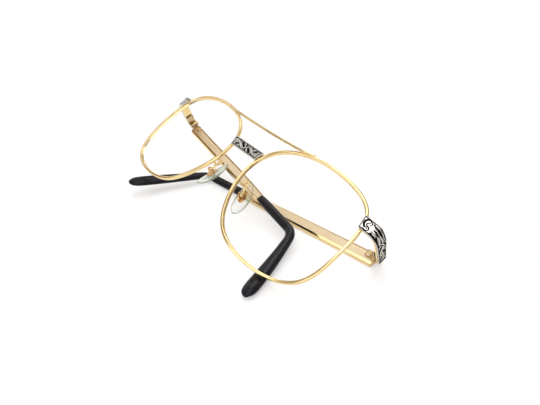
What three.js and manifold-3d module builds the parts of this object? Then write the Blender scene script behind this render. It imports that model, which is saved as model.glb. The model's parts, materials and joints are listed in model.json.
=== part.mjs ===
// Aviator eyeglasses, folded and lying on their temples with the lenses upwards.
// Millimetres. The front is drawn in its own frame (x to the wearer's left, y to the brow, z forward);
// the last step turns the whole object so that +Z is up from the table it lies on.
import * as THREE from 'three';
import { NURBSCurve } from 'three/addons/curves/NURBSCurve.js';
import { mergeVertices } from 'three/addons/utils/BufferGeometryUtils.js';
import Module from 'manifold-3d';

const wasm = await Module();
wasm.setup();

// Driving dimensions of the front
const lensWidth = 58;
const lensHeight = 50;
const bridgeGap = 18.4; // between the two eyewires, centre line to centre line
const baseCurveRadius = 140;
const faceFormAngle = 5.9; // each lens plane turns back this far, degrees
const rimWidth = 1.5; // across the wire, in the lens plane
const rimDepth = 1.9; // along the lens axis
const rimRound = 0.45;
const grooveLip = 0.3;
const grooveDepth = 0.5;
const lensThickness = 1.8;
const lensGap = 0.2; // lens edge to groove
const lensChamfer = 0.5; // narrow flat between the lens faces and its bevelled edge
const lensBevelShare = 0.7; // of the groove's mouth that the bevel fills
const solderGap = 0.12; // between pieces that are soldered or screwed together
const rimSplit = 0.5; // saw cut in the eyewire at its closing block

// Brow bar and bridge
const browHeight = 23.2;
const browReach = 31; // half its length
const browThickness = 1.2;
const browTipThickness = 0.6;
const browRise = 1.4; // its ends climb with the eyewires
const browDip = 0.3; // its middle lies this much lower
const browForward = 0.2; // its middle line in front of the lens plane
const browSink = 0.3; // its ends lie this far behind the front of the eyewires
const browTaperShare = 0.3; // of each half that tapers
const bridgeHeight = 10.8; // middle of the plaque above the lens centre line
const plaqueHeight = 4.6;
const plaqueThickness = 0.7;
const bridgePlaqueTop = 20.4; // length of its top edge
const bridgePlaqueBottom = 18;
const bridgeBarHeight = 3.4;
const bridgeBarThickness = 1.5;
const bridgeBarGap = 0.39; // each end to its eyewire

// Wrap-round end pieces
const endHeightFront = 5.3;
const endHeightRear = 3.8;
const endRise = 14.6; // middle of its front edge above the lens centre line
const endDrop = 2.9; // how much lower its rear end lies
const endLevelShare = 0.3; // of the corner that is still level with the front run
const endOverlap = 1.1; // how far its plaque lies over the eyewire
const endStandOff = 0.5; // back of the plaque to the front of the eyewire
const endHeading = 18; // sweep of its front run, degrees
const endFrontRun = 5;
const endCornerRadius = 5.5;
const endTurn = 76.5; // from the front run round to the side, degrees
const endSideRun = 10.4;
const endSlant = 0.2; // lean of its front edge, along the eyewire
const bracketThickness = 0.9;
const bracketMargin = 0.1; // the plaque stands out this far over the bracket's edges
const bracketSetback = 2.3; // the bracket starts beside the eyewire, the plaque in front of it

// Closing block that clamps each eyewire
const lockLength = 2.6;
const lockDepth = 1.8;
const lockSetback = 2.9; // from the front edge of the plaque
const lockHeight = 1.4;
const lockRise = 0.5; // saw cut above the middle of the end piece
const lockScrewRadius = 0.5;
const lockHeadRadius = 0.85;
const lockHeadHeight = 0.4;
const screwClearance = 0.15;

// Barrel hinge
const barrelRadius = 1.2;
const barrelOffset = 1.45; // hinge axis to the inner face of the temple
const knuckleHeight = 1.25;
const knuckleGap = 0.12;
const leafThickness = 0.6;
const leafStart = 1.2;
const frontLeafLength = 5.5;
const templeLeafLength = 5.4;
const templeLeafHeight = 3;
const hingeScrewRadius = 0.5;
const hingeHeadRadius = 1;
const hingeHeadHeight = 0.5;
const buttGap = 0.3; // temple end to end piece, each from the hinge axis

// Temples
const templeThickness = 2;
const templeHeight = 6; // of the outer face at the hinge
const templeMidHeight = 5.6;
const templeEndHeight = 3.9;
const innerFaceShare = 0.58; // inner face to outer face, across the bevels
const templeLand = 0.5; // square edge left beside the outer face
const bevelCrown = 0.3; // ridge along the middle of each bevel above a flat one
const templeSag = 0.5; // middle line of the temple below the middle of its hinge
const templeLength = 78; // metal part, from the hinge axis
const coreLength = 20;
const coreHeight = 1.6;
const coreThickness = 1;
const tipHeight = 4.3;
const tipThickness = 3.5;
const paddleHeight = 6.6;
const paddleSwell = 0.15; // extra share of thickness where the tip is widest
const paddleFrom = 0.15; // shares of the curved run: where it starts to widen,
const paddleFull = 0.8; // where it is widest
const paddleRound = 0.9; // and where its end starts to round off
const bendDistance = 106.8; // hinge axis to the bend over the ear
const bendRadius = 9;
const tipLength = 37.8; // from the bend to the end
const pantoscopicAngle = 8; // lean of the hinge axis, degrees
const templeDropAngle = 7.3; // fall of the temple from square to its hinge axis

// As photographed: the left temple is underneath, and each tip is bent to fit its ear.
const left = { fold: 86, tipFall: 61, tipCurl: 18, curlPower: 1.03 };
const right = { fold: 92.2, tipFall: 56, tipCurl: 10.6, curlPower: 1.4 };

// Nose pads
const padLength = 16.6;
const padWidth = 6.9;
const padTaper = 0.14; // narrower above and wider below by this share
const padThickness = 2.2;
const padBow = 1;
const padInset = 2.8; // pad centre from the eyewire's nasal side
const padHeight = -5.9;
const padSetback = 8.2;
const padFlare = 19.6; // lean of its long axis, degrees
const padSplay = 15; // turn of its face, degrees
const insertThickness = 0.5;
const insertLength = 5.4;
const insertWidth = 3.4;
const lugThickness = 0.6;
const lugHeight = 2.3;
const lugLength = 1.8;
const pinRadius = 0.35;
const eyeRadius = 0.85;
const eyeLength = 1.2;
const armRadius = 0.55;
const armGap = 0.3; // its foot to the back of the eyewire, filled with solder
const armRootHeight = -2.5;
const armReach = 2.4; // straight back from the eyewire
const armClimb = 0.8; // rise over that reach
const armHump = 1.6; // height of the bow between eyewire and loop
const armLoopRise = 6; // top of the loop above the pad's pin
const armNeck = 1.6; // straight neck over the eye
const armBack = 0.5; // the loop stands this far behind the pin

// Finishes read from the photograph
const gold = { color: 0xd9b466, roughness: 0.22, metalness: 1 };
const satinGold = { color: 0xe6cda0, roughness: 0.45, metalness: 1 };
const silver = { color: 0xb9b9b9, roughness: 0.3, metalness: 1 };
const blackAcetate = { color: 0x1c1b1f, roughness: 0.2, metalness: 0 };
const clearSilicone = { color: 0xe4ecdf, roughness: 0.15, metalness: 0 };
const clearLens = { color: 0xf4f8f8, roughness: 0.05, metalness: 0 };
const steel = { color: 0xc9b184, roughness: 0.3, metalness: 1 };

const radians = THREE.MathUtils.degToRad;
const vec = (x, y, z) => new THREE.Vector3(x, y, z);
const mix = THREE.MathUtils.lerp;

// A closed solid skinned over rings of equal point count; ends are capped with fans.
function loft(rings) {
  const sides = rings[0].length;
  const positions = rings.flat().flatMap((p) => [p.x, p.y, p.z]);
  const index = [];
  for (let r = 0; r + 1 < rings.length; r += 1) {
    for (let s = 0; s < sides; s += 1) {
      const a = r * sides + s;
      const b = r * sides + ((s + 1) % sides);
      index.push(a, b, a + sides, b, b + sides, a + sides);
    }
  }
  [0, rings.length - 1].forEach((ring) => {
    const middle = rings[ring].reduce((sum, p) => sum.add(p), vec(0, 0, 0)).divideScalar(sides);
    const hub = positions.length / 3;
    positions.push(middle.x, middle.y, middle.z);
    for (let s = 0; s < sides; s += 1) {
      const a = ring * sides + s;
      const b = ring * sides + ((s + 1) % sides);
      index.push(...(ring === 0 ? [hub, b, a] : [hub, a, b]));
    }
  });
  const geometry = new THREE.BufferGeometry();
  geometry.setAttribute('position', new THREE.Float32BufferAttribute(positions, 3));
  geometry.setIndex(index);
  return facingOut(geometry);
}

function signedVolume(geometry) {
  const p = geometry.attributes.position;
  const corner = (i) => vec(p.getX(i), p.getY(i), p.getZ(i));
  let sum = 0;
  for (let i = 0; i < geometry.index.count; i += 3) {
    const [a, b, c] = [0, 1, 2].map((k) => corner(geometry.index.getX(i + k)));
    sum += a.dot(b.cross(c)) / 6;
  }
  return sum;
}

function flipped(geometry) {
  const old = Array.from(geometry.index.array);
  const turned = old.map((value, i) => old[i - (i % 3) + [0, 2, 1][i % 3]]);
  geometry.setIndex(turned);
  return geometry;
}

function facingOut(geometry) {
  return signedVolume(geometry) < 0 ? flipped(geometry) : geometry;
}

function welded(geometry) {
  const bare = geometry.clone();
  bare.deleteAttribute('normal');
  bare.deleteAttribute('uv');
  return mergeVertices(bare, 1e-4);
}

function mirrored(geometry) {
  const other = welded(geometry);
  other.scale(-1, 1, 1);
  return flipped(other);
}

function solidOf(geometry) {
  const bare = welded(geometry);
  return new wasm.Manifold(new wasm.Mesh({
    numProp: 3,
    vertProperties: new Float32Array(bare.attributes.position.array),
    triVerts: new Uint32Array(bare.index.array),
  }));
}

function geometryOf(solid) {
  const mesh = solid.getMesh();
  const geometry = new THREE.BufferGeometry();
  geometry.setAttribute('position', new THREE.BufferAttribute(new Float32Array(mesh.vertProperties), 3));
  geometry.setIndex(new THREE.BufferAttribute(new Uint32Array(mesh.triVerts), 1));
  return geometry;
}

const joined = (...pieces) => geometryOf(pieces.map(solidOf).reduce((sum, piece) => sum.add(piece)));
const cut = (piece, tool) => geometryOf(solidOf(piece).subtract(solidOf(tool)));

// A tapering round bar along points; size(share) gives its half height and half thickness.
function bar(points, across, sides, size) {
  const rings = points.map((point, i) => {
    const ahead = points[Math.min(i + 1, points.length - 1)];
    const behind = points[Math.max(i - 1, 0)];
    const along = ahead.clone().sub(behind).normalize();
    const thick = across.clone().addScaledVector(along, -across.dot(along)).normalize();
    const high = along.clone().cross(thick);
    const [halfHeight, halfThickness] = size(i / (points.length - 1), i);
    return Array.from({ length: sides }, (_, k) => {
      const turn = (2 * Math.PI * (k + 0.5)) / sides;
      return point.clone()
        .addScaledVector(high, halfHeight * Math.cos(turn))
        .addScaledVector(thick, halfThickness * Math.sin(turn));
    });
  });
  return loft(rings);
}

// A plate drawn in x and z, and extruded upwards from y = bottom.
function slab(shape, bottom, height) {
  const settings = { depth: height, bevelEnabled: false, curveSegments: 10 };
  const geometry = new THREE.ExtrudeGeometry(shape, settings);
  geometry.rotateX(Math.PI / 2);
  geometry.translate(0, bottom + height, 0);
  return geometry;
}

function screw(shankRadius, headRadius, headHeight, length) {
  const profile = [
    [0, -length], [shankRadius, -length], [shankRadius, 0], [headRadius, 0],
    [headRadius, headHeight * 0.6], [headRadius * 0.7, headHeight], [0, headHeight],
  ].map(([x, y]) => new THREE.Vector2(x, y));
  return new THREE.LatheGeometry(profile, 14);
}

// Lens outline, by the points that pull it out, as shares of half the lens width and height,
// from the temple side round over the brow
const lensOutline = [
  [1.01, 0.022], [0.985, 0.833], [0.374, 1.008], [-0.25, 1.022], [-0.89, 0.77],
  [-1.087, 0.121], [-0.764, -0.689], [-0.364, -1.013], [0.411, -1.026], [0.963, -0.736],
].map(([across, up]) => vec((across * lensWidth) / 2, (up * lensHeight) / 2, 0));

// A smooth closed line that these points pull round themselves
function closedSpline(points) {
  const degree = 3;
  const wrapped = [points[points.length - 1], ...points, points[0], points[1]];
  const knots = Array.from({ length: wrapped.length + degree + 1 }, (_, i) => i);
  return new NURBSCurve(degree, knots, wrapped, degree, points.length + degree);
}

const outline = closedSpline(lensOutline);
const rimSteps = 96;
const lensSteps = 60;
const lensCentre = vec((bridgeGap + lensWidth) / 2, 0, 0);

// The lens surface: a dome of the base curve, turned back by the face form.
function onLens(u, v) {
  const sag = -(u * u + v * v) / (2 * baseCurveRadius);
  return vec(u, v, sag).applyAxisAngle(vec(0, 1, 0), radians(faceFormAngle)).add(lensCentre);
}

function rimStation(share) {
  const place = (s) => outline.getPointAt(((s % 1) + 1) % 1);
  const flat = place(share);
  const point = onLens(flat.x, flat.y);
  const step = 0.004; // share to each side over which the direction is read
  const next = place(share + step);
  const last = place(share - step);
  const along = onLens(next.x, next.y).sub(onLens(last.x, last.y)).normalize();
  const normal = vec(flat.x / baseCurveRadius, flat.y / baseCurveRadius, 1).normalize();
  normal.applyAxisAngle(vec(0, 1, 0), radians(faceFormAngle));
  const outward = along.clone().cross(normal).normalize();
  return { point, along, normal, outward };
}

function shareAtHeight(height, from, to) {
  let low = from;
  let high = to;
  const rising = outline.getPointAt(to).y > outline.getPointAt(from).y;
  for (let i = 0; i < 30; i += 1) {
    const middle = (low + high) / 2;
    if (outline.getPointAt(middle).y < height === rising) low = middle;
    else high = middle;
  }
  return (low + high) / 2;
}

// Stretches of the outline that only rise or only fall, as shares of its length
const templeStretch = [0, 0.15];
const nasalStretch = [0.62, 0.38];

const splitShare = shareAtHeight(endRise + lockRise, ...templeStretch);
const splitHalf = rimSplit / 2 / outline.getLength();

function rimGeometry() {
  const halfWidth = rimWidth / 2;
  const halfDepth = rimDepth / 2;
  const section = [
    [halfWidth, rimRound - halfDepth], [halfWidth, halfDepth - rimRound],
    [halfWidth - rimRound, halfDepth], [grooveLip - halfWidth, halfDepth],
    [-halfWidth, halfDepth - grooveLip], [grooveDepth - halfWidth, 0],
    [-halfWidth, grooveLip - halfDepth], [grooveLip - halfWidth, -halfDepth],
    [halfWidth - rimRound, -halfDepth],
  ];
  const rings = Array.from({ length: rimSteps + 1 }, (_, i) => {
    const share = mix(splitShare + splitHalf, splitShare + 1 - splitHalf, i / rimSteps);
    const { point, normal, outward } = rimStation(share);
    return section.map(([r, n]) => point.clone().addScaledVector(outward, r).addScaledVector(normal, n));
  });
  return loft(rings);
}

function lensGeometry() {
  const inside = rimWidth / 2 + lensGap;
  const apex = rimWidth / 2 - grooveDepth + lensGap;
  const half = lensThickness / 2;
  const bevel = Math.min(half, rimDepth / 2 - grooveLip) * lensBevelShare;
  const stations = Array.from({ length: lensSteps }, (_, i) => {
    const share = (i + 0.5) / lensSteps;
    return { flat: outline.getPointAt(share), ...rimStation(share) };
  });
  const edge = (inset, depth) => stations.map(({ point, normal, outward }) => (
    point.clone().addScaledVector(outward, -inset).addScaledVector(normal, depth)));
  const face = (share, depth) => stations.map(({ flat }) => {
    const reach = share * (1 - inside / flat.length());
    return onLens(flat.x * reach, flat.y * reach).add(vec(0, 0, depth));
  });
  return loft([
    face(0.3, half), face(0.7, half), edge(inside + lensChamfer, half), edge(inside, bevel), edge(apex, 0),
    edge(inside, -bevel), edge(inside + lensChamfer, -half), face(0.7, -half), face(0.3, -half),
  ]);
}

function browGeometry() {
  const lift = rimDepth / 2 - browSink;
  const half = [
    vec(0, browHeight - browDip / 2, browForward),
    vec(browReach * 0.6, browHeight + browDip / 2, browForward),
    vec(browReach * 0.86, browHeight + browRise * 0.35, lift),
    vec(browReach, browHeight + browRise, lift - browSink),
  ];
  const ends = half.slice(1).reverse().map((p) => vec(-p.x, p.y, p.z));
  const path = new THREE.CatmullRomCurve3([...ends, ...half], false, 'centripetal');
  const taper = (share) => {
    const nearEnd = Math.min(1, (1 - Math.abs(2 * share - 1)) / browTaperShare);
    const radius = mix(browTipThickness, browThickness, nearEnd) / 2;
    return [radius, radius];
  };
  return bar(path.getSpacedPoints(26), vec(0, 0, 1), 10, taper);
}

const nasalShare = (height) => shareAtHeight(height, ...nasalStretch);

// Bridge plaque and the bar behind it; both lean with the eyewires' nasal sides.
function trapezoid(bottomLength, topLength, height) {
  const shape = new THREE.Shape();
  shape.moveTo(-bottomLength / 2, -height / 2);
  shape.lineTo(bottomLength / 2, -height / 2);
  shape.lineTo(topLength / 2, height / 2);
  shape.lineTo(-topLength / 2, height / 2);
  shape.closePath();
  return shape;
}

const bridgeFace = rimStation(nasalShare(bridgeHeight)).point.z + rimDepth / 2 + solderGap;

function bridgePlaqueGeometry() {
  const shape = trapezoid(bridgePlaqueBottom, bridgePlaqueTop, plaqueHeight);
  const geometry = new THREE.ExtrudeGeometry(shape, { depth: plaqueThickness, bevelEnabled: false });
  return geometry.translate(0, bridgeHeight, bridgeFace);
}

function bridgeBarGeometry() {
  const reachAt = (height) => rimStation(nasalShare(height)).point.x - rimWidth / 2 - bridgeBarGap;
  const bottom = bridgeHeight - bridgeBarHeight / 2;
  const low = Math.min(reachAt(bottom), reachAt(bridgeHeight));
  const top = Math.min(reachAt(bottom + bridgeBarHeight), low + bridgeBarHeight / 2);
  const shape = trapezoid(2 * low, 2 * top, bridgeBarHeight);
  const geometry = new THREE.ExtrudeGeometry(shape, { depth: bridgeBarThickness, bevelEnabled: false });
  return geometry.translate(0, bridgeHeight, bridgeFace - solderGap - bridgeBarThickness);
}

// Plan of the end piece's outer face, by the distance along it: front run, corner, then back along the side
const endStation = rimStation(shareAtHeight(endRise, ...templeStretch));
const endSpan = plaqueThickness + solderGap + bracketThickness;
const endStart = vec(
  endStation.point.x + rimWidth / 2 - endOverlap, 0,
  endStation.point.z + rimDepth / 2 + endStandOff + plaqueThickness,
);
const endArc = endCornerRadius * radians(endTurn);
const endLength = endFrontRun + endArc + endSideRun;

function endPlan(distance) {
  const turned = THREE.MathUtils.clamp((distance - endFrontRun) / endCornerRadius, 0, radians(endTurn));
  const front = Math.min(distance, endFrontRun);
  const side = Math.max(0, distance - endFrontRun - endArc);
  const last = vec(Math.cos(turned), 0, -Math.sin(turned));
  const outward = vec(Math.sin(turned), 0, Math.cos(turned));
  const corner = vec(Math.sin(turned), 0, Math.cos(turned) - 1).multiplyScalar(endCornerRadius);
  const point = vec(front, 0, 0).add(corner).addScaledVector(last, side);
  [point, outward].forEach((v) => v.applyAxisAngle(vec(0, 1, 0), radians(endHeading)));
  return { point: point.add(endStart), outward };
}

// Middle and half of the end piece's height: level across the front, falling along the side.
function endHeight(distance) {
  const level = endFrontRun + endArc * endLevelShare;
  const share = THREE.MathUtils.clamp((distance - level) / (endLength - level), 0, 1);
  return { middle: endRise - endDrop * share, half: mix(endHeightFront, endHeightRear, share) / 2 };
}

function endLayer(outer, inner, margin, setback) {
  const stations = [
    setback, endFrontRun * 0.75, endFrontRun,
    ...[0.15, 0.3, 0.45, 0.6, 0.8, 1].map((share) => endFrontRun + share * endArc),
    endFrontRun + endArc + endSideRun * 0.5, endLength,
  ];
  const rings = stations.map((distance) => {
    const { middle, half } = endHeight(distance);
    const { point, outward } = endPlan(distance);
    const slant = endSlant * Math.max(0, 1 - distance / endFrontRun);
    const corner = (up, depth) => point.clone()
      .addScaledVector(outward, -depth)
      .add(vec(-up * slant * half, middle + up * (half - margin), 0));
    return [corner(1, outer), corner(1, inner), corner(-1, inner), corner(-1, outer)];
  });
  return loft(rings);
}

const bracketGeometry = () => endLayer(plaqueThickness + solderGap, endSpan, bracketMargin, bracketSetback);
const endPlaqueGeometry = () => endLayer(0, plaqueThickness, 0, 0);

// Closing block: two halves on the sawn ends of the eyewire, drawn together by a screw from below.
const lockPlan = endPlan(lockSetback);
const lockOrigin = lockPlan.point.clone()
  .addScaledVector(lockPlan.outward, -(endSpan + solderGap + lockDepth / 2))
  .add(vec(0, endRise + lockRise, 0));
const lockPlaced = (geometry) => geometry
  .rotateY(radians(endHeading)).translate(lockOrigin.x, lockOrigin.y, lockOrigin.z);

function lockGeometry(upper) {
  const half = lockDepth / 2;
  const shape = new THREE.Shape();
  shape.moveTo(0, -half);
  shape.lineTo(lockLength - half, -half);
  shape.absarc(lockLength - half, 0, half, -Math.PI / 2, Math.PI / 2, false);
  shape.lineTo(0, half);
  shape.closePath();
  const hole = new THREE.Path();
  hole.absarc(lockLength - half, 0, lockScrewRadius + screwClearance, 0, 2 * Math.PI, false);
  shape.holes.push(hole);
  return lockPlaced(slab(shape, upper ? rimSplit / 2 : -rimSplit / 2 - lockHeight, lockHeight));
}

function lockScrewGeometry() {
  const length = 2 * lockHeight + rimSplit + solderGap;
  const geometry = screw(lockScrewRadius, lockHeadRadius, lockHeadHeight, length).rotateX(Math.PI);
  geometry.translate(lockLength - lockDepth / 2, -rimSplit / 2 - lockHeight - solderGap, 0);
  return lockPlaced(geometry);
}

// Hinge frame: origin on the axis, x outwards, y up the axis, z forward.
const endRear = endPlan(endLength);
const leafMiddle = barrelOffset - solderGap - leafThickness / 2;
const hingeOrigin = endRear.point.clone()
  .addScaledVector(endRear.outward, -(endSpan + barrelOffset))
  .add(vec(0, endRise - endDrop, -buttGap));

// Knuckle with the web that ties it to its leaf; direction is +1 for the front leaf and -1 for the temple's.
function knuckle(bottom, direction) {
  const barrel = new THREE.CylinderGeometry(barrelRadius, barrelRadius, knuckleHeight, 24);
  const boreRadius = hingeScrewRadius + screwClearance;
  const bore = new THREE.CylinderGeometry(boreRadius, boreRadius, 2 * knuckleHeight, 16);
  const web = new THREE.BoxGeometry(leafThickness, knuckleHeight, leafStart + leafThickness);
  web.translate(leafMiddle, 0, (direction * (leafStart + leafThickness)) / 2);
  return cut(joined(barrel, web), bore).translate(0, bottom + knuckleHeight / 2, 0);
}

function leaf(length, height, direction) {
  const inner = leafMiddle - leafThickness / 2;
  const shape = new THREE.Shape();
  shape.moveTo(inner, direction * leafStart);
  shape.lineTo(inner + leafThickness, direction * leafStart);
  shape.lineTo(inner + leafThickness, direction * length);
  shape.lineTo(inner + leafThickness / 2, direction * length);
  shape.lineTo(inner, direction * (length - leafThickness));
  shape.closePath();
  return slab(shape, -height / 2, height);
}

const barrelHeight = 3 * knuckleHeight + 2 * knuckleGap;

function frontHingeGeometry() {
  const upper = knuckle(barrelHeight / 2 - knuckleHeight, 1);
  const lower = knuckle(-barrelHeight / 2, 1);
  return joined(leaf(frontLeafLength, barrelHeight, 1), upper, lower);
}

function templeHingeGeometry() {
  return joined(leaf(templeLeafLength, templeLeafHeight, -1), knuckle(-knuckleHeight / 2, -1));
}

function hingeScrewGeometry() {
  const geometry = screw(hingeScrewRadius, hingeHeadRadius, hingeHeadHeight, barrelHeight + solderGap);
  return geometry.translate(0, barrelHeight / 2 + solderGap, 0);
}

// Temple frame, open: s along the temple, q below its middle line and w inwards from its middle plane.
const drop = radians(templeDropAngle);
const templeX = barrelOffset + templeThickness / 2;

function onTemple(s, q, w) {
  const below = q + templeSag;
  const fall = s * Math.sin(drop) + below * Math.cos(drop);
  const back = s * Math.cos(drop) - below * Math.sin(drop);
  return vec(templeX - w, -fall, -back);
}

function templeBarGeometry() {
  const half = templeThickness / 2;
  const stations = [
    [buttGap, templeHeight], [templeLength * 0.35, mix(templeHeight, templeMidHeight, 0.55)],
    [templeLength * 0.67, templeMidHeight], [templeLength * 0.87, mix(templeMidHeight, templeEndHeight, 0.5)],
    [templeLength, templeEndHeight],
  ];
  const buttSlope = Math.tan(radians(pantoscopicAngle + templeDropAngle));
  const rings = stations.map(([s, height], station) => {
    const outer = height / 2;
    const inner = outer * innerFaceShare;
    const cutBack = station === 0 ? buttSlope : 0; // the open temple meets the end piece squarely
    const land = templeLand - half;
    const slant = Math.hypot(outer - inner, half - land);
    const ridgeQ = (inner + outer) / 2 + bevelCrown * (half - land) / slant;
    const ridgeW = (half + land) / 2 + bevelCrown * (outer - inner) / slant;
    return [
      [-inner, half], [inner, half], [ridgeQ, ridgeW], [outer, land], [outer, -half], [-outer, -half],
      [-outer, land], [-ridgeQ, ridgeW],
    ].map(([q, w]) => onTemple(s + cutBack * (q + templeSag), q, w));
  });
  [templeLength, templeLength + coreLength].forEach((s) => rings.push(coreRing(s, 0)));
  return loft(rings);
}

function coreRing(s, growth) {
  const high = coreHeight / 2 + growth;
  const thick = coreThickness / 2 + growth;
  const lowerSide = [[high, thick], [high, thick / 2], [high, 0], [high, -thick]];
  return [[-high, thick], ...lowerSide, [-high, -thick], [-high, 0], [-high, thick / 2]]
    .map(([q, w]) => onTemple(s, q, w));
}

function templeTipGeometry({ tipFall, tipCurl, curlPower }) {
  const fall = radians(tipFall);
  const lead = bendRadius * Math.tan(fall / 2);
  const front = templeLength + solderGap;
  const bendStart = bendDistance - lead;
  const flat = [[front, 0], [mix(front, bendStart, 0.5), 0], [bendStart, 0]];
  const bendSteps = 6;
  for (let i = 1; i <= bendSteps; i += 1) {
    const turn = (fall * i) / bendSteps;
    flat.push([bendStart + bendRadius * Math.sin(turn), bendRadius * (1 - Math.cos(turn))]);
  }
  [0.25, 0.5, 0.72, 0.88, 0.95, 0.985, 1].forEach((share) => {
    const reach = mix(lead, tipLength, share);
    flat.push([bendDistance + reach * Math.cos(fall), reach * Math.sin(fall)]);
  });
  const run = flat.map(([s, q], i) => (i === 0 ? 0 : Math.hypot(s - flat[i - 1][0], q - flat[i - 1][1])));
  const along = run.map((_, i) => run.slice(0, i + 1).reduce((sum, step) => sum + step, 0));
  const total = along[along.length - 1];
  const straight = bendStart - front;
  const past = along.map((l) => Math.max(0, (l - straight) / (total - straight)));
  const points = flat.map(([s, q], i) => onTemple(s, q, tipCurl * past[i] ** curlPower));
  const size = (_, i) => {
    const widen = THREE.MathUtils.smoothstep(past[i], paddleFrom, paddleFull);
    const intoEnd = Math.max(0, (past[i] - paddleRound) / (1 - paddleRound));
    const roundEnd = Math.sqrt(Math.max(0.02, 1 - intoEnd ** 2));
    const high = (mix(tipHeight, paddleHeight, widen) / 2) * roundEnd;
    const thick = (tipThickness / 2) * (1 + paddleSwell * widen) * Math.max(roundEnd, 0.4);
    return [high, thick];
  };
  const body = bar(points, vec(-1, 0, 0), 12, size);
  const bore = loft([templeLength - solderGap, front + coreLength].map((s) => coreRing(s, solderGap)));
  return cut(body, bore);
}

// Nose pad frame: x across the pad, y up its length, z away from the nose; origin in the middle of the pad.
const padLift = padThickness / 2 + solderGap;
const pinHeight = padLift + insertThickness + lugHeight - lugLength / 2;

function padGeometry() {
  const shares = [-1, -0.97, -0.85, -0.6, -0.3, 0, 0.3, 0.6, 0.85, 0.97, 1];
  const points = shares.map((share) => vec(0, (share * padLength) / 2, padBow * share * share));
  const size = (_, i) => {
    const share = shares[i];
    const end = Math.sqrt(Math.max(0.03, 1 - share * share));
    const teardrop = 1 - padTaper * share;
    return [(padThickness / 2) * Math.max(end, 0.3), (padWidth / 2) * end * teardrop];
  };
  return bar(points, vec(1, 0, 0), 14, size);
}

function insertGeometry() {
  const plate = new THREE.BoxGeometry(insertWidth, insertLength, insertThickness);
  plate.translate(0, 0, padLift + insertThickness / 2);
  const lugs = [-1, 1].map((side) => {
    const shape = new THREE.Shape();
    const rise = lugHeight - lugLength / 2;
    shape.moveTo(-lugLength / 2, -insertThickness / 2);
    shape.lineTo(lugLength / 2, -insertThickness / 2);
    shape.lineTo(lugLength / 2, rise);
    shape.absarc(0, rise, lugLength / 2, 0, Math.PI, false);
    shape.closePath();
    const hole = new THREE.Path();
    hole.absarc(0, rise, pinRadius + screwClearance / 2, 0, 2 * Math.PI, true);
    shape.holes.push(hole);
    const settings = { depth: lugThickness, bevelEnabled: false, curveSegments: 8 };
    const lug = new THREE.ExtrudeGeometry(shape, settings);
    lug.translate(0, 0, -lugThickness / 2);
    lug.rotateY(Math.PI / 2);
    lug.rotateX(Math.PI / 2);
    const aside = eyeLength / 2 + screwClearance + lugThickness / 2;
    return lug.translate(side * aside, 0, padLift + insertThickness);
  });
  return joined(plate, ...lugs);
}

function padPinGeometry() {
  const length = eyeLength + 2 * (screwClearance + lugThickness);
  const geometry = new THREE.CylinderGeometry(pinRadius, pinRadius, length, 12);
  return geometry.rotateZ(Math.PI / 2).translate(0, 0, pinHeight);
}

const padOrigin = vec(bridgeGap / 2 + padInset, padHeight, -padSetback);

function padFrame() {
  const frame = new THREE.Group();
  frame.position.copy(padOrigin);
  frame.rotation.order = 'ZYX';
  frame.rotation.set(0, radians(padSplay), radians(padFlare));
  frame.updateMatrix();
  return frame;
}

// Pad arm: a wire from the back of the eyewire, up over and down to the eye between the pad's lugs.
function padArmGeometry() {
  const frame = padFrame();
  const pin = vec(0, 0, pinHeight).applyMatrix4(frame.matrix);
  const root = rimStation(nasalShare(armRootHeight));
  const start = root.point.clone().addScaledVector(root.normal, -(rimDepth / 2 + armGap));
  const rise = vec(0, 1, 0).applyQuaternion(frame.quaternion);
  const out = vec(0, 0, 1).applyQuaternion(frame.quaternion);
  const loopTop = pin.clone().addScaledVector(rise, armLoopRise).addScaledVector(out, armBack);
  const neck = pin.clone().addScaledVector(rise, eyeRadius + armNeck).addScaledVector(out, armBack);
  const path = new THREE.CatmullRomCurve3([
    start, start.clone().addScaledVector(root.normal, -armReach).add(vec(0, armClimb, 0)),
    start.clone().lerp(loopTop, 0.62).add(vec(0, armHump, 0)), loopTop, neck,
    pin.clone().addScaledVector(rise, (eyeRadius + pinRadius) / 2),
  ], false, 'centripetal');
  const section = new THREE.Shape().absarc(0, 0, armRadius, 0, 2 * Math.PI, false);
  const wire = new THREE.ExtrudeGeometry(section, { steps: 24, curveSegments: 5, extrudePath: path });
  const eye = new THREE.CylinderGeometry(eyeRadius, eyeRadius, eyeLength, 14);
  eye.rotateZ(Math.PI / 2).translate(0, 0, pinHeight).applyMatrix4(frame.matrix);
  const boreRadius = pinRadius + screwClearance / 2;
  const bore = new THREE.CylinderGeometry(boreRadius, boreRadius, 2 * eyeLength, 12);
  bore.rotateZ(Math.PI / 2).translate(0, 0, pinHeight).applyMatrix4(frame.matrix);
  return cut(joined(wire, eye), bore);
}

function piece(name, geometry, finish) {
  const shaded = geometry.index ? geometry.toNonIndexed() : geometry;
  shaded.computeVertexNormals();
  const mesh = new THREE.Mesh(shaded, new THREE.MeshStandardMaterial(finish));
  mesh.name = name;
  return mesh;
}

// Both sides of a piece that is drawn for the wearer's left
function pair(group, name, geometry, finish) {
  group.add(piece(`left_${name}`, geometry, finish));
  group.add(piece(`right_${name}`, mirrored(geometry), finish));
}

const glasses = new THREE.Group();
glasses.add(piece('brow_bar', browGeometry(), gold));
glasses.add(piece('bridge_bar', bridgeBarGeometry(), gold));
glasses.add(piece('bridge_plaque', bridgePlaqueGeometry(), silver));
pair(glasses, 'rim', rimGeometry(), gold);
pair(glasses, 'lens', lensGeometry(), clearLens);
pair(glasses, 'endpiece', bracketGeometry(), gold);
pair(glasses, 'endpiece_plaque', endPlaqueGeometry(), silver);
pair(glasses, 'rim_lock_upper', lockGeometry(true), gold);
pair(glasses, 'rim_lock_lower', lockGeometry(false), gold);
pair(glasses, 'rim_lock_screw', lockScrewGeometry(), steel);
pair(glasses, 'pad_arm', padArmGeometry(), gold);

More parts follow.
